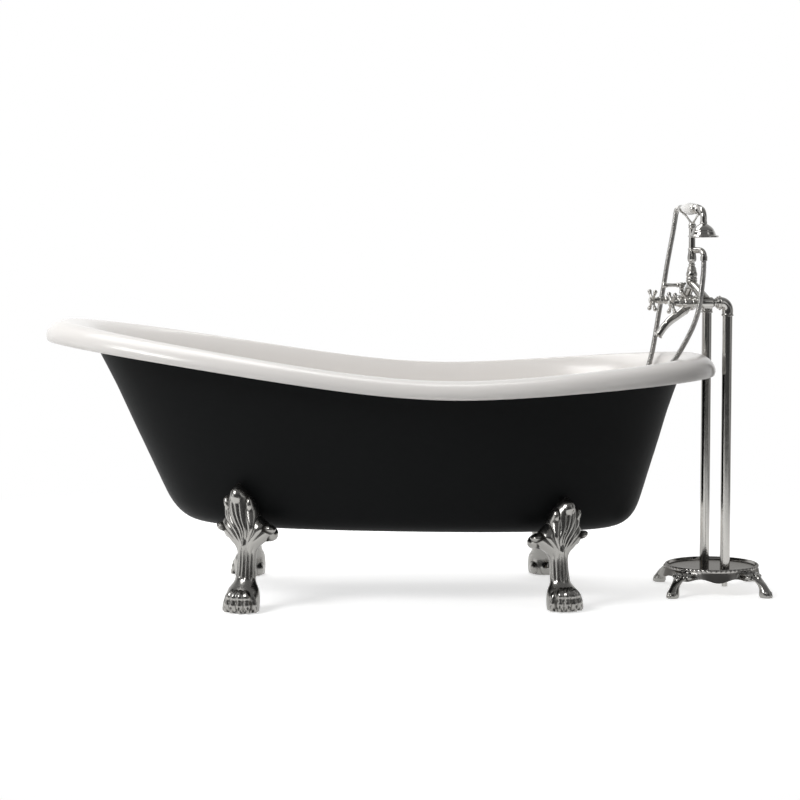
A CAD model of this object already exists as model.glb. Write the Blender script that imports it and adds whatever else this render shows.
# %% [markdown]
# # A slipper bath on claw feet, with its standing bath and shower mixer
# A double-skinned tub on four cast feet, and a plated mixer on two risers that grow out of a
# small footed dish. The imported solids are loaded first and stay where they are. Smooth solids
# only get a finish; the castings, the turned work and the hose are surfaces worked out with
# numpy, and each stands for the plainer solid of the same name.

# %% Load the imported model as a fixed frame
import math

import bmesh
import bpy
import numpy as np
from mathutils import Matrix, Vector


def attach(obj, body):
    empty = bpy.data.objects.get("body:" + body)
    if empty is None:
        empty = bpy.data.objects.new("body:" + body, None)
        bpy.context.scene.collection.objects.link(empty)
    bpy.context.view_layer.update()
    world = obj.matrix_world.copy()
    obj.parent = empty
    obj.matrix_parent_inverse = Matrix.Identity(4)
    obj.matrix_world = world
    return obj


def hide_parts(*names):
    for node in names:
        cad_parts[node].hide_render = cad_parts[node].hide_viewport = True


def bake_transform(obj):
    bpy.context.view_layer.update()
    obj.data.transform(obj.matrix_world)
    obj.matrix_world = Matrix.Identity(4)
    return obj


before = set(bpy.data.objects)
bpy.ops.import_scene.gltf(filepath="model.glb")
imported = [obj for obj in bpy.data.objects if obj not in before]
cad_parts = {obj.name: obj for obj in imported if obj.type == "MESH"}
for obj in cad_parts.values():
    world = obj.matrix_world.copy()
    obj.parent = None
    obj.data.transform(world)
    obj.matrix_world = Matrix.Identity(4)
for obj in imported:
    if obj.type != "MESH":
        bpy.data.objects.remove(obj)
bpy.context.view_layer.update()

# %% [markdown]
# ## Working in millimetres
# Every shape is in millimetres, and one function turns it into metres when it becomes a mesh.
# The tub's middle is 69.176 mm left of the set's.

# %% Frames of the tub, the stand and the mixer
MM = 0.001
SET_MIDDLE = 69.176


def move(x, y, z):
    """A 4 x 4 frame that only moves."""
    frame_of = np.eye(4)
    frame_of[:3, 3] = (x, y, z)
    return frame_of


def spin(axis, degrees):
    """A 4 x 4 frame that only turns about a main axis."""
    frame_of = np.eye(4)
    frame_of[:3, :3] = np.array(Matrix.Rotation(math.radians(degrees), 3, axis))
    return frame_of


def placed(points, frame_of):
    """Points p carried into a frame with turn R and place t: R p + t."""
    return np.asarray(points, float) @ frame_of[:3, :3].T + frame_of[:3, 3]


TUB = move(-SET_MIDDLE, 0, 0)
TAP_TURN = 12
TAP = TUB @ move(861.593, 34.639, 0) @ spin("Z", TAP_TURN)
STAND = TUB @ move(852, 15, 0)
TOWARDS_BATH = spin("Y", -90)              # a turned piece's axis laid along the mixer's -X
MIXER_Z = 745
HALF_PITCH = 75


def across_tap(x, y, z):
    """A frame at a place of the mixer, with its axis laid towards the bath."""
    return TAP @ move(x, y, z) @ TOWARDS_BATH


def on_column(rise):
    """A frame on the axis of the mixer's column, at a height over the mixer's barrels."""
    return TAP @ move(-70, 0, MIXER_Z + rise)


# %% [markdown]
# ## From a grid of points to a piece
# A new piece is a grid: rows along it and columns round it. Neighbouring points make
# quads, the two end rows are closed, and rows that shrink to a point are merged into a pole.

# %% Helpers that make meshes
def grid_faces(rows, columns):
    """Quads of a grid that closes round its columns, wound so that they face outwards."""
    row = np.arange(rows - 1)[:, None]
    column = np.arange(columns)[None, :]
    beside = (column + 1) % columns
    corners = (row * columns + column, row * columns + beside,
               (row + 1) * columns + beside, (row + 1) * columns + column)
    return np.stack(corners, -1).reshape(-1, 4)


def piece(name, grids, finish, body, stands_for, hollow=None):
    """One object from closed grids of points in the set's frame, in millimetres."""
    points, faces, start = [], [], 0
    for grid in grids:
        rows, columns = grid.shape[:2]
        points.append(grid.reshape(-1, 3))
        faces += (grid_faces(rows, columns) + start).tolist()
        last = start + (rows - 1) * columns
        faces.append(list(range(start + columns - 1, start - 1, -1)))
        faces.append(list(range(last, last + columns)))
        start += rows * columns
    points = np.concatenate(points)
    mesh = bpy.data.meshes.new(name)
    mesh.from_pydata((points * MM).tolist(), [], faces)
    if hollow is not None:
        mesh.attributes.new("hollow", "FLOAT", "POINT").data.foreach_set("value", hollow.ravel())
    work = bmesh.new()
    work.from_mesh(mesh)
    bmesh.ops.remove_doubles(work, verts=work.verts, dist=1e-6)
    bmesh.ops.dissolve_degenerate(work, edges=work.edges, dist=1e-7)
    work.to_mesh(mesh)
    work.free()
    mesh.shade_smooth()
    mesh.set_sharp_from_angle(angle=math.radians(38))
    mesh.materials.append(finish)
    item = bpy.data.objects.new(name, mesh)
    bpy.context.scene.collection.objects.link(item)
    if body:
        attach(item, body)
    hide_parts(*stands_for)
    return item


def eased(points, soft, steps=5):
    """A line through hand-chosen points with each corner eased.

    Each corner is left up to `soft` before and after it, but never past the middle of a run,
    along the parabola (1-s)^2 a + 2s(1-s) corner + s^2 b.
    """
    points = np.asarray(points, float)
    soft = np.broadcast_to(np.asarray(soft, float), len(points) - 2)[:, None]
    before, corner, after = points[:-2], points[1:-1], points[2:]
    back, on = before - corner, after - corner
    back_length = np.linalg.norm(back, axis=1, keepdims=True)
    on_length = np.linalg.norm(on, axis=1, keepdims=True)
    start = corner + back / back_length * np.minimum(soft, 0.499 * back_length)
    end = corner + on / on_length * np.minimum(soft, 0.499 * on_length)
    share = np.linspace(0, 1, steps)[None, :, None]
    bent = ((1 - share) ** 2 * start[:, None] + 2 * share * (1 - share) * corner[:, None]
            + share ** 2 * end[:, None])
    return np.concatenate([points[:1], bent.reshape(-1, points.shape[1]), points[-1:]])


def turned(profile, frame_of, soft=0.6, columns=48, flutes=0, flute_depth=0.0):
    """A turned piece: (place along the axis, radius) carried round by (r cos a, r sin a, z).

    Flutes scale the radius by 1 + depth cos(flutes * a), as a gadrooned vase has them.
    """
    line = eased(profile, soft)
    angle = np.linspace(0, 2 * np.pi, columns, endpoint=False)
    wave = 1 + flute_depth * np.cos(flutes * angle)
    radius = line[:, 1:] * wave
    grid = np.stack([radius * np.cos(angle), radius * np.sin(angle),
                     np.broadcast_to(line[:, :1], radius.shape)], -1)
    return placed(grid, frame_of)


def swept(path, radii, across, frame_of=np.eye(4), columns=32):
    """A tube along a path: p + r (cos a * n + sin a * b), with n square to `across`.

    n is across x tangent, and b is tangent x n, so the section never twists.
    """
    path = np.asarray(path, float)
    tangent = np.gradient(path, axis=0)
    tangent /= np.linalg.norm(tangent, axis=1, keepdims=True)
    side = np.cross(across, tangent)
    side /= np.linalg.norm(side, axis=1, keepdims=True)
    other = np.cross(tangent, side)
    angle = np.linspace(0, 2 * np.pi, columns, endpoint=False)[None, :, None]
    radii = np.broadcast_to(np.asarray(radii, float), len(path))[:, None, None]
    grid = path[:, None] + radii * (np.cos(angle) * side[:, None] + np.sin(angle) * other[:, None])
    return placed(grid, frame_of)


def ball_profile(middle, radius, low=-90, high=90, steps=13):
    """Points of a half circle, for a ball at a place along a turned piece's axis."""
    angle = np.radians(np.linspace(low, high, steps))
    return list(zip(middle + radius * np.sin(angle), radius * np.cos(angle)))


# %% [markdown]
# ## The camera
# The photograph was taken from about 6.6 m with a long lens, a little above the rim and almost
# square to the tub. Its horizon and the spread of the feet fix the lens at 117 mm on a 36 mm
# sensor. The hose is judged through it, so it comes first.

# %% Camera at the photograph's place
def look_from(yaw, pitch, level_distance, target):
    """A camera that looks at a target from a yaw and a downward pitch, in degrees and metres."""
    yaw, pitch = math.radians(yaw), math.radians(pitch)
    ahead = np.array([math.sin(yaw) * math.cos(pitch), math.cos(yaw) * math.cos(pitch), -math.sin(pitch)])
    right = np.array([math.cos(yaw), -math.sin(yaw), 0.0])
    up = np.cross(right, ahead)
    place = np.array(target) - ahead * level_distance / math.cos(pitch)
    pose = np.eye(4)
    pose[:3, :3] = np.stack([right, up, -ahead], 1)
    pose[:3, 3] = place
    return Matrix(pose.tolist())


lens = bpy.data.cameras.new("photo_camera")
lens.sensor_width = 36
lens.lens = 117
camera = bpy.data.objects.new("photo_camera", lens)
camera.matrix_world = look_from(yaw=1.6, pitch=5.2, level_distance=6.612,
                                target=(0.046 - SET_MIDDLE * MM, 0, 0.495))
bpy.context.scene.collection.objects.link(camera)
bpy.context.scene.camera = camera

# %% [markdown]
# ## Finishes
# Plated castings are never evenly bright: the buffing wheel misses the hollows, and handling
# leaves a faint haze. Sprayed enamel and satin paint have a fine orange peel. Each effect is a
# node group that gives a colour, a roughness and a normal; the shader stays in the material.

# %% Small helpers for nodes
GIVES = (("Color", "Color"), ("Roughness", "Float"), ("Normal", "Vector"))


def add(tree, kind, links=None, **settings):
    """A node with its settings, its input values and the outputs linked into it."""
    node = tree.nodes.new(f"ShaderNode{kind}")
    for name, value in settings.items():
        setattr(node, name, value)
    for name, value in (links or {}).items():
        if isinstance(value, bpy.types.NodeSocket):
            tree.links.new(value, node.inputs[name])
        else:
            node.inputs[name].default_value = value
    return node


def maths(tree, operation, *values):
    """The output of a math node with its two or three values."""
    return add(tree, "Math", dict(enumerate(values)), operation=operation).outputs[0]


def new_group(name, colours, numbers):
    """A shader node group that takes colours, then numbers; with the sockets that bring them."""
    group = bpy.data.node_groups.new(name, "ShaderNodeTree")
    takes = [(label, "Color") for label in colours] + [(label, "Float") for label in numbers]
    for way, sockets in (("INPUT", takes), ("OUTPUT", GIVES)):
        for label, kind in sockets:
            group.interface.new_socket(label, in_out=way, socket_type=f"NodeSocket{kind}")
    return group, group.nodes.new("NodeGroupInput").outputs


def give(group, *results):
    """Link a group's colour, roughness and normal to what it gives."""
    out = group.nodes.new("NodeGroupOutput")
    for (label, _), result in zip(GIVES, results):
        group.links.new(result, out.inputs[label])


# %% A shared group: plated metal, dull in its hollows
plated, given = new_group("plated_metal", ("Bright", "Hollow"), ("Polish", "Haze", "Cloud Size", "Ripple"))
spot = add(plated, "TexCoord").outputs["Object"]
cloud = add(plated, "TexNoise", {"Vector": spot, "Scale": given["Cloud Size"], "Detail": 4.0})
fine = add(plated, "TexNoise", {"Vector": spot, "Scale": 420.0, "Detail": 2.0})
kept = add(plated, "Attribute", attribute_name="hollow")
depth = add(plated, "MapRange", {"Value": kept.outputs["Fac"], "From Min": 0.05, "From Max": 0.75})
tint = add(plated, "Mix", {"Factor": depth.outputs["Result"], "A": given["Bright"], "B": given["Hollow"]},
           data_type="RGBA")
hazed = maths(plated, "MULTIPLY_ADD", cloud.outputs["Fac"], given["Haze"], given["Polish"])
rough = maths(plated, "MULTIPLY_ADD", depth.outputs["Result"], 0.28, hazed)
waves = add(plated, "Bump", {"Strength": given["Ripple"], "Distance": 0.0006, "Height": fine.outputs["Fac"]})
give(plated, tint.outputs["Result"], rough, waves.outputs["Normal"])

# %% A shared group: a sprayed or moulded skin with a fine orange peel
sprayed, given = new_group("sprayed_skin", ("Colour", "Shade"), ("Gloss", "Unevenness", "Peel Size", "Peel"))
spot = add(sprayed, "TexCoord").outputs["Object"]
drift = add(sprayed, "TexNoise", {"Vector": spot, "Scale": 2.6, "Detail": 3.0})
peel = add(sprayed, "TexNoise", {"Vector": spot, "Scale": given["Peel Size"], "Detail": 1.0})
share = add(sprayed, "MapRange", {"Value": drift.outputs["Fac"], "From Min": 0.3, "From Max": 0.7})
tint = add(sprayed, "Mix", {"Factor": share.outputs["Result"], "A": given["Colour"], "B": given["Shade"]},
           data_type="RGBA")
rough = maths(sprayed, "MULTIPLY_ADD", peel.outputs["Fac"], given["Unevenness"], given["Gloss"])
bump = add(sprayed, "Bump", {"Strength": given["Peel"], "Distance": 0.001, "Height": peel.outputs["Fac"]})
give(sprayed, tint.outputs["Result"], rough, bump.outputs["Normal"])


# %% Finishes made from the two groups
def finish_from(group, name, values, shader):
    """A material: one shared group with its own values, feeding one Principled shader."""
    material = bpy.data.materials.new(name)
    material.use_nodes = True
    tree = material.node_tree
    body = tree.nodes["Principled BSDF"]
    effect = tree.nodes.new("ShaderNodeGroup")
    effect.node_tree = group
    for socket, value in zip(effect.inputs, values):
        socket.default_value = value
    for socket, (label, _) in zip(("Base Color", "Roughness", "Normal"), GIVES):
        tree.links.new(effect.outputs[label], body.inputs[socket])
    for socket, value in shader.items():
        body.inputs[socket.replace("_", " ")].default_value = value
    return material


def metal(name, bright, hollow, polish, haze=0.08, cloud=30.0, ripple=0.05, **shader):
    """A metal with its colours out on the form and down in its hollows."""
    values = (*bright, 1), (*hollow, 1), polish, haze, cloud, ripple
    return finish_from(plated, name, values, {"Metallic": 1.0, **shader})


def skin(name, colour, shade, gloss, uneven, peel_size, peel, **shader):
    """A skin that drifts between two colours."""
    values = (*colour, 1), (*shade, 1), gloss, uneven, peel_size, peel
    return finish_from(sprayed, name, values, shader)


nickel = metal("polished_nickel", (0.46, 0.45, 0.43), (0.09, 0.087, 0.082), 0.10)
cast_nickel = metal("cast_nickel", (0.34, 0.333, 0.317), (0.035, 0.033, 0.03), 0.16, 0.12, 55.0, 0.12)
# the camera sees the dish so flat that an untinted edge would mirror all of the white room
dish_nickel = metal("mirror_nickel", (0.42, 0.41, 0.395), (0.09, 0.085, 0.08), 0.10, 0.06, 12.0, 0.02,
                    Specular_Tint=(0.36, 0.355, 0.345, 1))
hose_metal = metal("hose_steel", (0.62, 0.61, 0.59), (0.02, 0.019, 0.018), 0.16, 0.08, 90.0, 0.03)
zinc_steel = metal("zinc_steel", (0.50, 0.51, 0.53), (0.2, 0.2, 0.2), 0.34, 0.16, 140.0, 0.2)
raw_brass = metal("raw_brass", (0.62, 0.44, 0.20), (0.2, 0.13, 0.05), 0.30, 0.18, 70.0, 0.15)
white_enamel = skin("white_enamel", (0.81, 0.785, 0.76), (0.79, 0.765, 0.74), 0.22, 0.05, 70.0, 0.02,
                    Specular_IOR_Level=0.35, Coat_Weight=0.22, Coat_Roughness=0.10)
black_satin = skin("black_satin", (0.0072, 0.0078, 0.0081), (0.0058, 0.0063, 0.0066), 0.46, 0.10, 240.0,
                   0.10, Specular_IOR_Level=0.06)
porcelain = skin("porcelain", (0.72, 0.71, 0.69), (0.70, 0.69, 0.665), 0.09, 0.04, 60.0, 0.01,
                 Coat_Weight=0.5, Coat_Roughness=0.03)
black_rubber = skin("black_rubber", (0.02, 0.02, 0.02), (0.014, 0.014, 0.014), 0.62, 0.2, 300.0, 0.3)
clear_rubber = skin("clear_rubber", (0.62, 0.62, 0.60), (0.55, 0.55, 0.53), 0.38, 0.12, 200.0, 0.1,
                    Transmission_Weight=0.35, IOR=1.42)

# %% [markdown]
# ## Plywood
# The board between the two floors is hidden on a finished bath. Its grain is a noise stretched
# along the board.

# %% Plywood
plywood = bpy.data.materials.new("plywood")
plywood.use_nodes = True
tree = plywood.node_tree
spot = add(tree, "TexCoord").outputs["Object"]
stretched = add(tree, "Mapping", {"Vector": spot, "Scale": (2.5, 40.0, 60.0)})
veins = add(tree, "TexNoise", {"Vector": stretched.outputs["Vector"], "Scale": 3.0, "Detail": 6.0})
wood = add(tree, "ValToRGB", {"Fac": veins.outputs["Fac"]})
wood.color_ramp.elements[0].color = (0.36, 0.23, 0.12, 1)
wood.color_ramp.elements[1].color = (0.62, 0.46, 0.28, 1)
grain = add(tree, "Bump", {"Strength": 0.3, "Distance": 0.0008, "Height": veins.outputs["Fac"]})
board = tree.nodes["Principled BSDF"].inputs
tree.links.new(wood.outputs["Color"], board["Base Color"])
tree.links.new(grain.outputs["Normal"], board["Normal"])
board["Roughness"].default_value = 0.7

# %% [markdown]
# ## Pieces whose solid already has the real form
# The basin, its outer skin, the risers and the fixings under the tub are smooth solids with
# the right shape, so each only gets its finish.

# %% Finish the nodes that stay
STAYING = {
    white_enamel: ["basin"], black_satin: ["outer_skin"], plywood: ["base_board"],
    zinc_steel: ["foot_studs", "foot_washers", "foot_nuts"], clear_rubber: ["floor_pads"],
    nickel: ["waste_flange", "waste_plug", "riser_far", "riser_near", "rose_face", "hose_nut_outlet",
             "hose_nut_handset"],
    black_rubber: ["waste_seal"],
    raw_brass: ["waste_backnut", "waste_collar", "waste_tailpipe", "riser_backnuts"],
}
for finish, names in STAYING.items():
    for name in names:
        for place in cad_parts[name].material_slots:
            place.material = finish

# %% [markdown]
# ## The shower hose
# The real hose is a steel strip wound into a ribbed tube. It leaves the outlet at the column's
# cap, falls past the near barrel into the tub, turns over its floor and climbs to the handset's
# tail. Its line is a NURBS curve with the same control points as the solid's, and its ribs are
# a wave of the radius, r = 5.5 + 1.6 |cos(pi s / 3.4 mm)|^1.1, so that its valleys are narrow.

# %% The hose's line
OUTLET_TURN, OUTLET_REACH = -62, 41
turn = math.radians(OUTLET_TURN)
outlet_end = placed([[math.cos(turn) * OUTLET_REACH - 70, math.sin(turn) * OUTLET_REACH, 850]], TAP)[0]
handset_tail = placed([[-70, 87, 981]], TAP)[0]
handset_way = placed([[-70, 113, 981]], TAP)[0]
BY_HAND = [
    (815, -25, 800), (809, -50, 781), (803, -76, 759), (796, -91, 727), (783, -94, 688),
    (762, -91, 645), (738, -86, 603), (713, -81, 574), (697, -77, 545), (677, -71, 500),
    (660, -66, 450), (644, -61, 400), (629, -53, 352), (610, -36, 316), (597, -4, 300),
    (599, 32, 305), (614, 58, 331), (632, 72, 372), (648, 78, 420), (662, 82, 472),
    (678, 88, 528), (700, 101, 590), (711, 113, 640), (720, 124, 690), (730, 137, 740),
    (739, 147, 785), (747, 158, 830), (756, 166, 875), (764, 170, 915), (768, 167, 945.5),
    (769, 154, 968),
]
controls = np.vstack([outlet_end, outlet_end - (0, 0, 25), placed(BY_HAND, TUB), handset_way, handset_tail]) * MM

line = bpy.data.curves.new("hose_line", "CURVE")
line.dimensions = "3D"
spline = line.splines.new("NURBS")
spline.points.add(len(controls) - 1)
spline.points.foreach_set("co", np.hstack([controls, np.ones((len(controls), 1))]).ravel())
spline.order_u = 3
spline.use_endpoint_u = True
spline.resolution_u = 24
line_holder = bpy.data.objects.new("hose_line", line)
read = bpy.data.meshes.new_from_object(line_holder)
route = np.empty(len(read.vertices) * 3)
read.vertices.foreach_get("co", route)
route = route.reshape(-1, 3) / MM
bpy.data.objects.remove(line_holder)
bpy.data.meshes.remove(read)
travelled = np.concatenate([[0], np.cumsum(np.linalg.norm(np.diff(route, axis=0), axis=1))])
HOSE_LENGTH = travelled[-1]

# %% The ribbed tube along it
RIB = HOSE_LENGTH / round(HOSE_LENGTH / 3.4)
VALLEY, WAVE, ROWS_TO_A_RIB = 5.5, 1.6, 8
stations = np.linspace(0, HOSE_LENGTH, int(HOSE_LENGTH / RIB * ROWS_TO_A_RIB) + 1)
hose_path = np.stack([np.interp(stations, travelled, route[:, axis]) for axis in range(3)], 1)
hose_radii = VALLEY + WAVE * np.abs(np.cos(np.pi * stations / RIB)) ** 1.1
hose_grid = swept(hose_path, hose_radii, (1, 0, 0), columns=14)
hose_low = np.broadcast_to((VALLEY + WAVE - hose_radii)[:, None] / WAVE, hose_grid.shape[:2])
hose = piece("ribbed_hose", [hose_grid], hose_metal, None, ["shower_hose"], hollow=hose_low)
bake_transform(hose)

# %% [markdown]
# ## Cast feet
# A bath foot is one casting: a paw with six toes and claws, a fluted shaft, and an acanthus
# leaf that lies against the tub and ends in a smooth bud. Every level slice is seen from the
# foot's axis. In each direction the surface lies where the ray leaves the last of a plain oval,
# which carries the leaf's outline and its ribs, and of the ellipsoids laid on it, one for each
# toe, claw, curl and bud. The distances are joined by a soft maximum, r = k ln(sum exp(r_i / k)),
# which leaves the rounded creases of a casting.

# %% The rule for a casting
SOFTNESS = 2.3


def lobe(middle, radii, lean=0.0, yaw=0.0, pitch=0.0):
    """An ellipsoid: its middle, its three radii, then pitch about X, lean about Y and yaw about Z."""
    turn = (spin("Z", yaw) @ spin("Y", lean) @ spin("X", pitch))[:3, :3]
    return np.array(middle, float), np.array(radii, float), turn


def both_sides(lobes):
    """The same lobes again, mirrored in the casting's middle plane."""
    flip = np.diag([-1.0, 1.0, 1.0])
    return lobes + [(middle * (-1, 1, 1), radii, flip @ turn @ flip) for middle, radii, turn in lobes]


def way_out(origin, direction, a_lobe):
    """Distance along each ray o + t d to where it leaves an ellipsoid |M (p - c)| = 1.

    M is the turn to the lobe's axes over its radii; t solves a t^2 + 2 b t + c = 0.
    """
    middle, radii, turn = a_lobe
    to_unit = (turn / radii).T
    start = (origin - middle) @ to_unit.T
    way = direction @ to_unit.T
    a = (way ** 2).sum(-1)
    b = (start * way).sum(-1)
    c = (start ** 2).sum(-1) - 1
    inside = b ** 2 - a * c
    return np.where(inside > 0, (np.sqrt(np.maximum(inside, 0)) - b) / a, -50.0)


def smooth_step(value, low, high):
    """A smooth step from 0 at low to 1 at high: 3 t^2 - 2 t^3."""
    share = np.clip((value - low) / (high - low), 0, 1)
    return share * share * (3 - 2 * share)


def casting(heights, rows, lobes, columns, crowd=0.45, softness=SOFTNESS, relief=None, end=-1):
    """A grid over a casting: stacked ellipses joined with its lobes, toes to -Y.

    rows holds (height, place of the axis along Y, half depth, half width, lean), joined
    smoothly; the lean slides a whole slice along X. The columns crowd towards the toes by the
    angle f - crowd * sin f. relief(x, height, from_front) is added to the ovals. It also gives
    how hollow each point is: how far it lies inside the average of its neighbours, over 1.5 mm.
    """
    rows = np.array(rows, float)
    rows = np.pad(rows, ((0, 0), (0, 5 - rows.shape[1])))
    middle, deep, wide, lean = (np.interp(heights, *eased(rows[:, [0, k]], 99, 8).T) for k in (1, 2, 3, 4))
    f = np.linspace(-np.pi, np.pi, columns, endpoint=False)
    angle = f - crowd * np.sin(f) - np.pi / 2
    way = np.stack([np.cos(angle), np.sin(angle), np.zeros(columns)], -1)[None]
    origin = np.stack([np.zeros(len(heights)), middle, heights], -1)[:, None]
    ring = 1 / np.sqrt((way[..., 0] / wide[:, None]) ** 2 + (way[..., 1] / deep[:, None]) ** 2)
    if relief:
        from_front = np.degrees(np.abs(f - crowd * np.sin(f)))[None]
        ring = ring + relief(ring * way[..., 0], heights[:, None], from_front)
    reaches = np.stack([ring] + [way_out(origin, way, one) for one in lobes])
    radius = softness * np.logaddexp.reduce(reaches / softness, axis=0)
    radius = np.maximum(radius, 0.01)
    around = sum(np.roll(radius, shift, 1) for shift in (-3, -2, -1, 1, 2, 3)) / 6
    padded = np.pad(radius, ((3, 3), (0, 0)), "edge")
    along = sum(padded[3 + shift:len(radius) + 3 + shift] for shift in (-3, -2, -1, 1, 2, 3)) / 6
    hollow = np.clip(((around + along) / 2 - radius) / 1.5, 0, 1)
    points = origin + radius[..., None] * way
    points[..., 0] += end * lean[:, None]
    return points, hollow


# %% The claw foot's lobes
FLOOR_PAD = 3


def foot_lobes(rise):
    """Toes, curls and bud of a foot whose casting is `rise` mm high, toes to -Y.

    Heights are shares of the rise. Each lobe of the leaf is let into its face, so that only its
    crown stands proud.
    """
    def z(share):
        return FLOOR_PAD + share * rise

    tall = rise / 310
    lobes = []
    for yaw, small in ((13, 1.0), (40, 1.0), (68, 0.85)):
        out = np.array([math.sin(math.radians(yaw)), -math.cos(math.radians(yaw)), 0])
        lobes += [lobe(out * 25 + (0, 0, 39 * small), (12 * small, 20, 18), yaw=yaw, pitch=12),
                  lobe(out * 35 + (0, 0, 20), (10.6 * small, 13.5, 17 * small), yaw=yaw),
                  lobe(out * 44 + (0, 0, 9), (4.0 * small, 6.4, 10), yaw=yaw, pitch=-10)]
    # a heel pad, a curl up each edge of the leaf, the tip of the wing and the scroll under it
    lobes += [lobe((15, 27, 19), (13, 14, 17)),
              lobe((29.5, 30, z(0.835)), (10, 14.5, 20 * tall), lean=10),
              lobe((65, 32, z(0.650)), (13, 16, 11 * tall), lean=-12, yaw=16),
              lobe((47, 58, z(0.607)), (23, 30, 21 * tall), lean=24, yaw=22)]
    lobes = both_sides(lobes)
    # down the middle: the hood of the bud and the drop under the ribs
    lobes += [lobe((0, 36, z(0.900)), (21, 29, 0.086 * rise), pitch=-8),
              lobe((0, 11, z(0.530)), (6.4, 9, 16 * tall), pitch=-16)]
    return lobes


def foot_relief(rise):
    """Petals that fan out from the leaf's throat, and the flutes of the shaft, as heights in mm.

    With `fan` the angle in degrees from the throat, the petals are |cos(pi u)|^0.6, where u
    counts the petals: three slender ribs down the middle, then broader and higher ones to each
    side. On the shaft the ridges are |cos(pi front / 34)|, round the shaft from its front.
    """
    def relief(x, height, from_front):
        share = (height - FLOOR_PAD) / rise
        up = np.maximum((share - 0.48) * rise, 1.0)
        fan = np.degrees(np.arctan2(np.abs(x), up))
        on_leaf = (smooth_step(share, 0.53, 0.60) * (1 - smooth_step(share, 0.885, 0.92))
                   * (1 - smooth_step(from_front, 100, 130)))
        count = np.interp(fan, (0, 8, 22, 38, 55, 75), range(6))
        petal = np.abs(np.cos(np.pi * count)) ** 0.6 - 0.7
        high = (2.4 + 3.4 * smooth_step(fan, 8, 20)) * np.minimum(up / 60, 1)
        on_shaft = smooth_step(share, 0.24, 0.29) * (1 - smooth_step(share, 0.48, 0.53))
        flutes = 2.2 * (np.abs(np.cos(np.pi * from_front / 34)) ** 0.8 - 0.5)
        return on_leaf * high * petal + on_shaft * flutes
    return relief


def foot_rows(rise):
    """The plain form under the ornament: (height, set back, half depth, half width, lean)."""
    shares = [(0.000, 0, 37, 41, 0), (0.05, 0, 40, 43, 0), (0.12, 1, 36, 43, 0), (0.16, 4, 32, 41, 0),
              (0.19, 8, 29, 36, 0), (0.215, 12, 26, 30, 0), (0.25, 17, 23, 25.5, 0), (0.32, 21, 21, 23, 0),
              (0.42, 25, 21, 22.5, 0), (0.475, 28, 23, 24, 0), (0.508, 31, 26, 32, 0), (0.54, 33, 28, 45, 0),
              (0.575, 35, 30, 56, 1), (0.61, 36, 31, 64, 2), (0.645, 37, 32, 69, 4), (0.67, 38, 33, 64, 7),
              (0.71, 40, 34, 53, 13), (0.755, 41, 34, 46, 18), (0.82, 42, 33, 41, 22), (0.86, 42, 31, 36, 24),
              (0.885, 42, 29, 31, 25), (0.92, 42, 26, 24, 26.5), (0.96, 42, 20, 15, 28), (1.00, 42, 1, 1, 29)]
    return [(FLOOR_PAD + share * rise, *row) for share, *row in shares]


# %% [markdown]
# The back of the leaf lies on the black skin. Any point that would fall inside the tub is
# carried out to its surface, the superellipse |x/a|^2.35 + |y/b|^2.35 = 1 at that height. Its
# walls lean by 24.3 degrees at the head, 17.4 at the foot and 13 at the sides, over a corner
# with a radius of 65 mm.

# %% Seating a foot on the tub
def seated(points, clear=0.6):
    """Points of the tub's frame with those inside its skin carried out to it, and a gap more."""
    x, y, z = points[..., 0], points[..., 1], points[..., 2]
    rise = z - (184 - 0.018 * x)
    share = np.sqrt(np.clip(rise / 70, 0, 1))
    inset = 65 * (1 - share) ** 2 - clear
    up = np.maximum(rise, 0)
    head = 515 + up * math.tan(math.radians(24.3)) - inset
    foot = 638 + up * math.tan(math.radians(17.4)) - inset
    wide = 248 + up * math.tan(math.radians(13)) - inset
    middle, half = (foot - head) / 2, (foot + head) / 2
    form = np.abs((x - middle) / half) ** 2.35 + np.abs(y / wide) ** 2.35
    out = np.where((rise > 0) & (form < 1), np.maximum(form, 1e-6) ** (-1 / 2.35), 1.0)
    return np.stack([middle + (x - middle) * out, y * out, z], -1)


FOOT_OUT, FOOT_TURN = 290, 24
for word, end, place, height in (("head", -1, 348, 313), ("tail", 1, 440, 275)):
    rise = height - FLOOR_PAD
    heights = FLOOR_PAD + rise * np.linspace(0, 1, 236)
    grid, hollow = casting(heights, foot_rows(rise), foot_lobes(rise), 168, relief=foot_relief(rise), end=end)
    grid = placed(grid, move(end * place, -FOOT_OUT, 0) @ spin("Z", end * FOOT_TURN))
    near = seated(grid)
    far = (near * (1, -1, 1))[:, ::-1]
    for side, points, dark in (("near", near, hollow), ("far", far, hollow[:, ::-1])):
        name = f"{word}_{side}"
        piece(f"cast_foot_{name}", [placed(points, TUB)], cast_nickel, "bath_set",
              [f"claw_foot_{name}"], hollow=dark)

# %% [markdown]
# ## The dish under the risers
# A round plate with a beaded gallery round it, and an apron below whose lower edge is cut in
# lobes and arches between four small feet. It is one turned grid whose radii and heights change
# with the angle: the edge rises and falls, the gallery has a bead every six degrees, and the
# apron swells into leaves over each foot.

# %% The dish
FOOT_X, FOOT_Y = 118, 134


def sector_share(angle):
    """How far an angle lies from the middle of its side of the dish: 0 there, 1 at its feet."""
    corner = math.atan2(FOOT_X, FOOT_Y)
    from_y = np.abs(np.mod(angle, np.pi) - np.pi / 2)
    return np.where(from_y > corner, (np.pi / 2 - from_y) / (np.pi / 2 - corner), from_y / corner)


def leaf_swell(angle, height):
    """Leaves on the apron: ribs that fan out from each foot, 3 mm deep where it meets the dish."""
    share = sector_share(angle)
    near_foot = np.clip((share - 0.45) / 0.55, 0, 1)
    fan = 0.5 + 0.5 * np.cos(9 * np.pi * (1 - share) * (1 + 0.35 * height))
    return (1.2 + 2.0 * fan) * near_foot * np.sin(np.pi * np.clip(height, 0, 1)) ** 0.6


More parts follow.
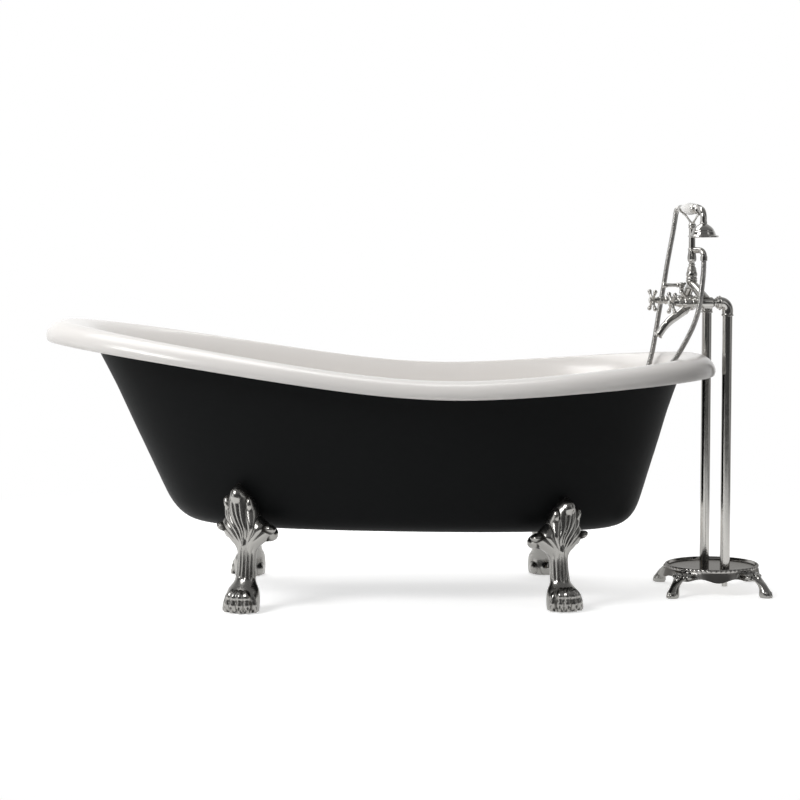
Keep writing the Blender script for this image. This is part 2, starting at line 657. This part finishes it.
angle = np.linspace(0, 2 * np.pi, 480, endpoint=False)
lower_edge = 39.5 - 4.5 * np.cos(2 * np.pi * sector_share(angle))
bead = np.abs(np.cos(30 * angle))
under = [(0, 57), (60, 57), (113, 57), (115.5, 54), (119, lower_edge + 2.0), (120.4, lower_edge + 0.2)]
apron = [(124.5 - 5.2 * up ** 0.8 + leaf_swell(angle, up) - 0.8 * np.exp(-((up - 0.93) / 0.03) ** 2),
          lower_edge + (61.0 - lower_edge) * up) for up in np.linspace(0, 1, 22)]
gallery = [(radius + bumps * bead - 0.6 * bumps, height) for radius, height, bumps in (
    (119.6, 62.0, 0.2), (120.0, 63.4, 0.6), (120.2, 64.8, 1.0), (119.8, 66.2, 1.2), (119.0, 67.6, 1.0),
    (118.0, 68.7, 0.6), (116.8, 69.0, 0.0), (115.0, 68.4, 0.0), (114.2, 66.6, 0.0), (113.6, 63.2, 0.0),
    (112.8, 62.3, 0.0), (111.0, 62.0, 0.0), (60.0, 62.0, 0.0), (0.0, 62.0, 0.0))]
radius, height = (np.stack([row[k] + 0.0 * angle for row in under + apron + gallery]) for k in (0, 1))
dish = np.stack([radius * np.cos(angle), radius * np.sin(angle), height], -1)
# dark between the apron's leaves and between the beads
leaves = np.clip(leaf_swell(angle[None], np.linspace(0, 1, 20)[:, None]) / 2.2, 0, 1)
dark = np.zeros(radius.shape)
dark[len(under) + 1:len(under) + 21] = 0.5 * (1 - leaves)
dark[len(under) + 22:len(under) + 27] = 0.65 * (1 - bead)
piece("footed_dish", [placed(dish, STAND)], dish_nickel, "bath_set", ["stand_dish"], hollow=dark)

# %% [markdown]
# ## The dish's feet
# The same rule makes these castings, at a quarter of the size: a toed paw, a thin ankle, and a
# knee that runs in under the apron.

# %% Small feet
def small_foot_lobes():
    """Four toes, a knee boss and the scrolls of a foot 58 mm high."""
    lobes = []
    for yaw, reach in ((14, 1.0), (42, 0.88)):
        out = reach * np.array([math.sin(math.radians(yaw)), -math.cos(math.radians(yaw)), 0])
        lobes += [lobe(out * 9.5 + (0, 0, 13), (4.6, 8, 5.6), yaw=yaw, pitch=18),
                  lobe(out * 12.6 + (0, 0, 6.5), (4.4, 6.2, 6.2), yaw=yaw),
                  lobe(out * 16.6 + (0, 0, 4.2), (1.8, 2.8, 4.0), yaw=yaw)]
    lobes += [lobe((11, 36, 47), (6, 9, 9), lean=30), lobe((20, 42, 50), (8, 10, 6), lean=20)]
    lobes = both_sides(lobes)
    lobes += [lobe((0, 22, 44), (6.5, 7, 11), pitch=-35), lobe((0, 30, 52), (8, 9, 6))]
    return lobes


SMALL_ROWS = [(0.0, 0, 15.5, 13.5), (5.8, 0, 18.5, 16), (15, 1.2, 16.5, 15), (23, 5.6, 13, 12.5),
              (32.5, 12.4, 11.8, 12), (41.8, 24, 11.4, 14.5), (51, 41, 12.6, 23), (58, 52, 10.4, 28)]
heights = np.linspace(0.2, 57.5, 110)
small_grid, small_hollow = casting(heights, SMALL_ROWS, small_foot_lobes(), 110, softness=0.45)


def under_apron(points, clear=0.4):
    """Points of the stand's frame, with those inside the apron's cone carried out to it.

    The cone runs from radius 125 at 38 mm to 119 at 62 mm above the floor.
    """
    out = np.hypot(points[..., 0], points[..., 1])
    cone = 125 - (points[..., 2] - 38) / 4 + clear
    inside = (points[..., 2] > 38) & (out < cone)
    scale = np.where(inside, cone / np.maximum(out, 1), 1.0)
    return points * np.stack([scale, scale, np.ones_like(scale)], -1)


corner = math.degrees(math.atan2(FOOT_X, FOOT_Y))
for x_word, x_side in (("left", -1), ("right", 1)):
    for y_word, y_side in (("near", -1), ("far", 1)):
        turn = x_side * corner if y_side < 0 else 180 - x_side * corner
        local = placed(small_grid, move(x_side * FOOT_X, y_side * FOOT_Y, 0) @ spin("Z", turn))
        piece(f"dish_foot_{x_word}_{y_word}", [placed(under_apron(local), STAND)], cast_nickel, "bath_set",
              [f"stand_foot_{x_word}_{y_word}"], hollow=small_hollow)

# %% [markdown]
# ## Elbows and unions
# Each riser turns into the mixer through a street elbow: a smooth quarter bend with a bead at
# its socket, a small cast nub on the inside of the bend, and a union nut with a flange.

# %% Elbows and union nuts
QUARTER = np.radians(np.linspace(0, 90, 20))
for word, side in (("far", 1), ("near", -1)):
    bend = np.stack([20 * np.cos(QUARTER), 0 * QUARTER, 20 * np.sin(QUARTER)], 1)
    bend = np.vstack([[(20, 0, -14), (20, 0, -13.4), (20, 0, -10.8), (20, 0, -10), (20, 0, -9.2), (20, 0, -4)], bend])
    thick = np.full(len(bend), 14.4)
    thick[:5] = (14.9, 15.5, 15.5, 14.8, 14.4)
    thick[-3:] = (14.4, 14.8, 14.8)
    elbow_spot = TAP @ move(-20, side * HALF_PITCH, MIXER_Z - 20)
    nub = turned(ball_profile(0, 3.6), elbow_spot @ move(-1, 0, 4.2), soft=0.2, columns=20)
    piece(f"street_elbow_{word}", [swept(bend, thick, (0, 1, 0), elbow_spot), nub], nickel, "bath_set",
          [f"elbow_{word}"])
    piece(f"union_{word}", [turned(
        [(0, 0), (0, 16.2), (0.8, 17.5), (2.6, 17.5), (3.4, 15.8), (8.2, 15.8), (9, 14.2), (9.6, 12.6),
         (12, 12.2), (12, 0)], across_tap(-20, side * HALF_PITCH, MIXER_Z), columns=48,
        flutes=8, flute_depth=0.006)], nickel, "bath_set", [f"union_nut_{word}"])

# %% [markdown]
# ## The mixer's body
# One casting: two barrels that hold the valves, two broad arms that lean together like a yoke
# into the crown under the column, a slim bridge between the barrels, and a small cup on the bath
# side for the lever's pin.

# %% The body
def bowed_arm(side):
    """A yoke arm: its radius is 11.5 in the middle and flares to 17 where it leaves a barrel."""
    path = eased([(-60, side * 76, 748), (-60.5, side * 66, 757), (-63.5, side * 42, 770),
                  (-67.5, side * 16, 784), (-70, 0, 789)], 99, 8)
    share = np.linspace(0, 1, len(path))
    radii = 11.4 + 4.4 * np.exp(-share / 0.17) + 0.6 * np.exp(-(1 - share) / 0.18)
    return swept(path, radii, (1, 0, 0), TAP, columns=40)


body_grids = []
for side in (1, -1):
    body_grids.append(turned(
        [(0, 0), (0, 10.5), (6, 10.5), (8, 12.2), (9.4, 13.6), (12, 14.5), (33, 14.5), (38, 14.0), (41, 12.6),
         (42.4, 13.4), (45, 13.4), (45, 0)], across_tap(-32, side * HALF_PITCH, MIXER_Z), soft=1.2))
    body_grids.append(bowed_arm(side))
body_grids.append(turned(
    [(0, 0), (0, 9), (18, 9), (20, 11), (24, 11), (26, 9), (56, 9), (60, 12), (75, 14), (90, 12), (94, 9), (124, 9),
     (126, 11), (130, 11), (132, 9), (150, 9), (150, 0)],
    TAP @ move(-59, HALF_PITCH, MIXER_Z) @ spin("X", 90), soft=1.5))
for low, profile in ((-23, [(0, 0), (0, 4), (1.5, 7), (6, 11.5), (13, 14.6), (24, 15), (29, 13), (33, 8), (33, 0)]),
                     (38, [(0, 0), (0, 9), (4, 12.4), (9, 12.6), (12, 14.6), (17, 14.8), (17, 0)])):
    body_grids.append(turned(profile, on_column(low), soft=1.6))
SPOUT_DOWN = math.degrees(math.atan2(0.6, 0.8))
spout_root = on_column(-8) @ spin("Y", -90 - SPOUT_DOWN)
body_grids.append(turned([(0, 0), (0, 10.5), (17, 10.5), (19, 11.6), (22, 11.6), (22, 0)], spout_root))
CUP_FLOOR = MIXER_Z + 42 - 5.5 - 17 - 0.4
cup_stay = eased([(-70, 0, MIXER_Z + 4), (-79, 0, MIXER_Z + 8), (-88, 0, MIXER_Z + 14),
                  (-97, 0, CUP_FLOOR + 4.5)], 99, 6)
body_grids.append(swept(cup_stay, np.linspace(5.6, 3.8, len(cup_stay)), (0, 1, 0), TAP, columns=24))
body_grids.append(turned(
    [(0, 0), (0, 2.5), (1.5, 5.4), (4.5, 6.5), (8, 5.6), (12, 5.2), (14.5, 6.5), (17, 6.5), (17, 3.7), (6, 3.7),
     (6, 0)], TAP @ move(-97, 0, CUP_FLOOR), columns=32))
piece("mixer_casting", body_grids, nickel, "bath_set", ["mixer_body"])

# %% [markdown]
# ## Bonnets, cross handles and their buttons
# A bonnet is the turned sleeve over each valve's spindle. The handle on it is a hub with four
# arms that each end in a ball, and a plain porcelain button covers its screw.

# %% Valves
BONNET_BACK = 77
HANDLE_BACK = BONNET_BACK + 64 + 0.4
for word, side in (("far", 1), ("near", -1)):
    y = side * HALF_PITCH
    piece(f"valve_sleeve_{word}", [turned(
        [(0, 0), (0, 11.6), (1, 12.5), (4, 12.5), (5, 11), (6.5, 9.6), (12, 9.3), (13.5, 10.6), (17, 10.6),
         (18.5, 9.3), (31, 9.3), (33, 10.8), (35.5, 11.4), (38, 10.8), (40, 9.2), (47, 9.0), (49, 10.9), (53.4, 10.9), (55, 9.0),
         (61, 8.2), (64, 7.4), (64, 3.7), (53, 3.7), (53, 0)], across_tap(-BONNET_BACK, y, MIXER_Z))],
        nickel, "bath_set", [f"bonnet_{word}"])
    handle_spot = across_tap(-HANDLE_BACK, y, MIXER_Z)
    grids = [turned([(-9, 0), (-9, 3.5), (0, 3.5), (0, 5.6), (1.5, 6.6), (2.6, 5.6), (4, 7.6), (6, 8.4), (10, 8.4),
                     (12.4, 7.6), (14, 7.4), (16, 7.2), (16, 0)], handle_spot)]
    for arm in range(4):
        out = handle_spot @ move(0, 0, 8) @ spin("Z", 45 + 90 * arm) @ spin("Y", 90)
        grids.append(turned([(0, 0), (0, 5.2), (8, 5.0), (13, 4.0), (18, 3.2), (22.2, 3.0), (22.8, 4.6),
                             (24.8, 4.6), (25.4, 3.2)] + ball_profile(31.4, 5.6, -60, 90, 11),
                            out, soft=0.6, columns=24))
    piece(f"cross_top_{word}", grids, nickel, f"cross_handle_{word}", [f"cross_handle_{word}"])
    piece(f"porcelain_button_{word}", [turned(
        [(0, 0), (0, 6.5), (0.9, 6.4), (1.7, 5.2), (2.3, 3.0), (2.5, 0)],
        across_tap(-HANDLE_BACK - 16, y, MIXER_Z), soft=1.0)],
        porcelain, f"cross_handle_{word}", [f"index_button_{word}"])

# %% [markdown]
# ## The spout
# It leaves the hub through a ring, runs out over the tub in a flattened S and ends in a flared
# lip, a turned ring with the mouth sunk into it.

# %% Spout
piece("spout_ring", [turned([(0, 0), (0, 11.4), (0.8, 12.5), (4.2, 12.5), (5, 11.2), (5, 0)],
                            spout_root @ move(0, 0, 22))], nickel, "bath_set", ["spout_nut"])
SPOUT_LINE = [(-91.6, 0, 720.8), (-105.2, 0, 710.6), (-127.6, 0, 696.8), (-145, 0, 679), (-158, 0, 661)]
path = eased(SPOUT_LINE, 99, 9)
share = np.linspace(0, 1, len(path))
radii = 9.9 + 1.6 * np.exp(-share / 0.2) + 0.9 * np.exp(-((share - 0.42) / 0.2) ** 2)
piece("swan_spout", [swept(path, radii, (0, 1, 0), TAP, columns=36)], nickel, "bath_set", ["spout"])
lip_way = np.degrees(np.arctan2(13, 18))
lip_spot = TAP @ move(-158, 0, 661) @ spin("Y", 180 + lip_way)
piece("spout_flare", [turned(
    [(-3, 0), (-3, 9.4), (0, 9.8), (1.6, 12.0), (2.4, 12.5), (3.4, 12.5), (4, 11.6), (4, 7.2), (-2, 7.0), (-2, 0)],
    lip_spot, columns=40)], nickel, "bath_set", ["spout_lip"])

# %% [markdown]
# ## The column over the mixer
# A stack of turned pieces, threaded together on the real object: the diverter's body, a collar
# of rings, a gadrooned vase, the cap that the hose leaves from, and a plain stem.

# %% Column
COLUMN = [
    ("diverter_drum", "diverter_body", 55, [(0, 0), (0, 13.2), (1.5, 14.5), (5, 14.5), (6.5, 13.2), (9, 13.2),
     (10.5, 14.5), (17, 14.5), (19, 13.6), (22, 12.6), (22, 0)], 0),
    ("collar_rings", "diverter_rings", 77, [(0, 0), (0, 11.8), (1, 12.6), (3, 12.6), (4, 10.8), (5, 12.0), (7, 12.0),
     (8, 10.2), (9, 10.8), (10.5, 10.8), (11.5, 8.6), (15, 8.2), (16, 9.2),
     (18, 9.2), (18, 0)], 0),
    ("gadrooned_vase", "column_vase", 95, [(0, 0), (0, 6.6), (2, 7.4), (4, 7.0), (8, 10.4), (13, 11.5), (18, 11.4),
     (25, 10.4), (31, 9.4), (34, 9.4), (34, 0)], 10),
    ("column_crown", "column_cap", 129, [(0, 0), (0, 9.4), (1, 10.5), (2.4, 9.9), (3.5, 10.5), (5.6, 10.5), (7, 9.2),
     (7, 0)], 0),
    ("plain_stem", "column_stem", 136, [(0, 0), (0, 8.6), (48, 8.1), (50, 8.3), (51.4, 9.8), (54, 9.8), (56, 8.8),
     (56, 0)], 0),
]
for name, node, rise, profile, flutes in COLUMN:
    piece(name, [turned(profile, on_column(rise), soft=0.9, columns=80 if flutes else 48,
                        flutes=flutes, flute_depth=0.035 if flutes else 0.0)], nickel, "bath_set", [node])

# %% [markdown]
# ## The diverter's lever
# A turned handle lies level towards the bather, on a collar whose pin stands in the cup. Behind
# the collar a short tail rises towards the column.

# %% Lever
lever_spot = TAP @ move(-97, 0, MIXER_Z + 42)
grids = [turned([(-5.5, 0), (-5.5, 6.4), (-4, 8), (-1.8, 8), (-0.9, 6.8), (0.9, 6.8), (1.8, 8), (4, 8), (5.5, 6.4),
                 (7, 3), (7, 0)], lever_spot, columns=40),
         turned([(-14.5, 0), (-14.5, 3.5), (-5, 3.5), (-5, 0)], lever_spot, columns=24),
         turned([(0, 0), (0, 5.2), (9, 5.2), (10.5, 6.4), (12.5, 6.4), (14, 4.6), (24, 4.4), (36, 5.0),
                 (39, 5.2), (40, 6.4), (41, 6.4), (41.6, 4.8)] + ball_profile(46, 7.5, -50, 90, 11),
                lever_spot @ TOWARDS_BATH, soft=1.0, columns=32)]
tail = eased([(0, 0, 0), (5, 0, 0.6), (8.5, 0, 3.4), (10, 0, 6.5)], 99, 6)
grids.append(swept(tail, np.linspace(4.6, 3.0, len(tail)), (0, 1, 0), lever_spot, columns=20))
piece("turned_lever", grids, nickel, "diverter_lever", ["diverter_lever"])

# %% [markdown]
# ## The cradle
# Two thin arms rise in a V from a boss on the stem, along the handset. Each ends in a saddle, a
# half ring that takes the handset's tail on one side and its collar on the other.

# %% Cradle
cradle_spot = on_column(192)
GRIP_RISE = 44


def half_ring(inner, outer, width, spot):
    """The lower half of a ring about the spot's Y axis: a flat band bent along a half circle."""
    band = eased([(inner, -width), (inner, width), (outer, width), (outer, -width), (inner, -width)], 0.5, 4)
    turn = np.radians(np.linspace(180, 360, 25))[:, None]
    return placed(np.stack([np.cos(turn) * band[:, 0], band[:, 1] + 0 * turn, np.sin(turn) * band[:, 0]], -1),
                  spot)


grids = [turned([(0, 0), (0, 9.2), (1.2, 10.1), (4, 10.1), (6, 8.4), (9, 6.6), (10.5, 4.0), (10.5, 0)], cradle_spot)]
for side, reach, rest, half in ((1, 67, 9.8, 3), (-1, 52.5, 9.3, 2.3)):
    low = GRIP_RISE - rest - 2.4
    prong = eased([(0, side * 1.5, 4.5), (0, side * 0.36 * reach, 4.5 + 0.40 * (low - 4.5)),
                   (0, side * 0.80 * reach, low - 3.0), (0, side * reach, low)], 99, 7)
    share = np.linspace(0, 1, len(prong))
    grids.append(swept(prong, 4.6 - 1.7 * np.sin(np.pi * share ** 0.7) - 0.7 * share, (1, 0, 0), cradle_spot,
                       columns=20))
    grids.append(half_ring(rest, rest + 2.6, half, cradle_spot @ move(0, side * reach, GRIP_RISE)))
piece("v_cradle", grids, nickel, "bath_set", ["cradle"])

# %% [markdown]
# ## The handset
# A porcelain grip, a plated collar with rings, a swan neck, and a bell with a broad brim that
# holds the spray plate. The grip's axis lies level, and the bell's points down from the end of
# the neck. All of it lifts together out of the cradle.

# %% Handset
grip_spot = on_column(236) @ spin("X", -90)
piece("porcelain_grip", [turned(
    [(-16, 0), (-16, 11.4), (-14, 12.6), (-8, 14.2), (2, 15.7), (12, 16), (22, 15.8), (34, 14.6), (47, 12.4),
     (59, 10.4), (64, 9.4), (64, 0)], grip_spot, soft=5.0, columns=64)],
    porcelain, "handset", ["handset_grip"])
piece("ornate_collar", [turned(
    [(-61, 0), (-61, 8.6), (-59.5, 8.9), (-51, 8.9), (-49.6, 10.8), (-47.4, 10.8), (-46, 9.0), (-40, 8.9),
     (-37, 10.4), (-32.5, 12.6), (-29, 13), (-26, 12.2), (-24.4, 10.6), (-22.8, 12.4), (-20.6, 12.4), (-19, 11.2),
     (-17.4, 12.2), (-16, 11.7), (-16, 0)],
    grip_spot, columns=96, flutes=12, flute_depth=0.018)], nickel, "handset", ["handset_collar"])
piece("grip_tail", [turned(
    [(64, 0), (64, 9.0), (65, 9.5), (74, 9.2), (76, 8.6), (76, 0)],
    grip_spot)], nickel, "handset", ["handset_tail_nut"])
NECK_START = -61
arc = np.radians(np.linspace(0, 90, 20))
neck = np.vstack([[(0, 0, NECK_START + 0.4)],
                  np.stack([0 * arc, 22 * (1 - np.cos(arc)), NECK_START - 22 * np.sin(arc)], 1),
                  [(0, 28, NECK_START - 22), (0, 32.4, NECK_START - 22)]])
thick = np.full(len(neck), 8.4)
thick[-2:] = (8.4, 9.2)
piece("swan_neck", [swept(neck, thick, (1, 0, 0), grip_spot, columns=36)], nickel, "handset",
      ["handset_neck"])
head_spot = grip_spot @ move(0, 32, NECK_START - 22) @ spin("X", -90)
piece("bell_head", [turned(
    [(0, 0), (0, 8.6), (1, 9.6), (3, 9.6), (4, 8.8), (5.5, 11), (8.5, 16), (12, 20.6), (16, 24.6), (19.5, 27),
     (21, 27.4), (22.2, 27.4), (23.4, 29), (27.5, 30.4), (31.5, 31.8), (32.8, 34), (33.2, 37.6), (34.2, 38.8),
     (36.6, 39), (38, 38), (38, 33.4), (34.2, 33.3), (34.2, 0)], head_spot, soft=1.4, columns=80)], nickel, "handset",
    ["handset_bell"])

# %% [markdown]
# ## The hose's outlet
# A short arm leaves the column's crown towards the bather's right and turns straight down, where
# the hose's first nut is screwed on.

# %% Outlet
outlet_spot = on_column(131) @ spin("Z", OUTLET_TURN)
down = np.radians(np.linspace(0, 90, 16))
arm = np.vstack([[(10.8, 0, 0), (13.5, 0, 0), (14.5, 0, 0), (20, 0, 0)],
                 np.stack([26 + 15 * np.sin(down), 0 * down, 15 * np.cos(down) - 15], 1)[:-1],
                 [(OUTLET_REACH, 0, -14.2), (OUTLET_REACH, 0, -14.9)]])
thick = np.full(len(arm), 7.7)
thick[:2] = 8
thick[-2:] = 8
piece("outlet_arm", [swept(arm, thick, (0, 1, 0), outlet_spot, columns=28)], nickel, "bath_set",
      ["hose_outlet"])

# %% [markdown]
# ## The studio
# A pale floor catches the shadows. For the camera and for reflections it also glows, and away
# from the bath it fades into the white of the room, with no more light on the bath. The room is
# white behind the bath and dark above and behind the camera, with a bright window to the left and
# a weaker one to the right, because plated metal needs something dark to show.

# %% Floor
def seen_rays(tree):
    """1 for rays that come from the camera, a mirror or a glass, and 0 for light's own bounces."""
    path = add(tree, "LightPath").outputs
    either = maths(tree, "MAXIMUM", path["Is Camera Ray"], path["Is Glossy Ray"])
    return maths(tree, "MAXIMUM", either, path["Is Transmission Ray"])


floor_mesh = bpy.data.meshes.new("studio_floor")
floor_mesh.from_pydata([(-2.4, -2.4, 0), (2.4, -2.4, 0), (2.4, 2.4, 0), (-2.4, 2.4, 0)], [], [(0, 1, 2, 3)])
floor = bpy.data.objects.new("studio_floor", floor_mesh)
bpy.context.scene.collection.objects.link(floor)
paper = bpy.data.materials.new("studio_paper")
paper.use_nodes = True
tree = paper.node_tree
tree.nodes.clear()
matt = add(tree, "BsdfDiffuse", {"Color": (0.86, 0.86, 0.855, 1)})
glow = add(tree, "Emission", {"Color": (1, 1, 1, 1), "Strength": maths(tree, "MULTIPLY", seen_rays(tree), 0.62)})
near = add(tree, "AddShader", {0: matt.outputs[0], 1: glow.outputs[0]})
far = add(tree, "Emission", {"Color": (1, 1, 1, 1), "Strength": seen_rays(tree)})
away = add(tree, "VectorMath", {0: add(tree, "TexCoord").outputs["Object"]}, operation="LENGTH")
share = add(tree, "MapRange", {"Value": away.outputs["Value"], "From Min": 1.2, "From Max": 2.3},
            interpolation_type="SMOOTHSTEP")
both = add(tree, "MixShader", {0: share.outputs[0], 1: near.outputs[0], 2: far.outputs[0]})
add(tree, "OutputMaterial", {"Surface": both.outputs[0]})
floor_mesh.materials.append(paper)

# %% Room light
world = bpy.data.worlds.new("studio_room")
bpy.context.scene.world = world
world.use_nodes = True
tree = world.node_tree
tree.nodes.clear()
way = add(tree, "SeparateXYZ", {"Vector": add(tree, "TexCoord").outputs["Generated"]})


def smooth(value, low, high, bottom=0.0, top=1.0):
    """A smooth step of a socket from `bottom` at `low` to `top` at `high`."""
    return add(tree, "MapRange", {"Value": value, "From Min": low, "From Max": high, "To Min": bottom,
                                  "To Max": top}, interpolation_type="SMOOTHSTEP").outputs[0]


def window(azimuth, reach, edge, strength):
    """A soft-edged bright opening of the dark room, towards an azimuth in degrees."""
    turn = math.radians(azimuth)
    along = maths(tree, "MULTIPLY", way.outputs["X"], math.cos(turn))
    facing = maths(tree, "MULTIPLY_ADD", way.outputs["Y"], math.sin(turn), along)
    low, high = math.cos(math.radians(reach + edge)), math.cos(math.radians(reach))
    return smooth(facing, low, high, 0.0, strength)


back = smooth(way.outputs["Y"], 0.0, 0.70, 0.07, 1.0)
dim = smooth(way.outputs["Z"], 0.15, 0.65, 1.0, 0.35)
ceiling = smooth(way.outputs["Z"], 0.25, 0.75, 0.0, 0.22)
level = maths(tree, "MULTIPLY_ADD", back, dim, ceiling)
for opening in ((194, 13, 9, 1.35), (-20, 7, 9, 0.50)):
    level = maths(tree, "ADD", level, window(*opening))
path = add(tree, "LightPath").outputs
straight = maths(tree, "MAXIMUM", path["Is Camera Ray"], path["Is Transmission Ray"])
shown = add(tree, "Mix", {"Factor": straight, "A": level, "B": 1.0}, data_type="FLOAT")
room = add(tree, "Background", {"Color": (1, 1, 1, 1), "Strength": shown.outputs[0]})
add(tree, "OutputWorld", {"Surface": room.outputs[0]})


# %% Soft boxes
def soft_box(name, place, aim, size, power):
    """A rectangular lamp at a place, turned to face its aim, in metres and watts."""
    lamp = bpy.data.lights.new(name, "AREA")
    lamp.shape, (lamp.size, lamp.size_y), lamp.energy = "RECTANGLE", size, power
    holder = bpy.data.objects.new(name, lamp)
    away = Vector(place) - Vector(aim)
    holder.matrix_world = Matrix.Translation(place) @ away.to_track_quat("Z", "Y").to_matrix().to_4x4()
    bpy.context.scene.collection.objects.link(holder)


soft_box("key_box", (-2.8, -2.5, 3.1), (-0.1, 0, 0.4), (1.8, 1.8), 112)
soft_box("fill_box", (3.0, -2.4, 2.0), (0.3, 0, 0.5), (1.0, 2.2), 5)
soft_box("top_box", (-0.9, 0.9, 3.4), (-0.1, 0, 0.4), (3.2, 1.6), 52)
bpy.context.scene.view_settings.view_transform = "Standard"
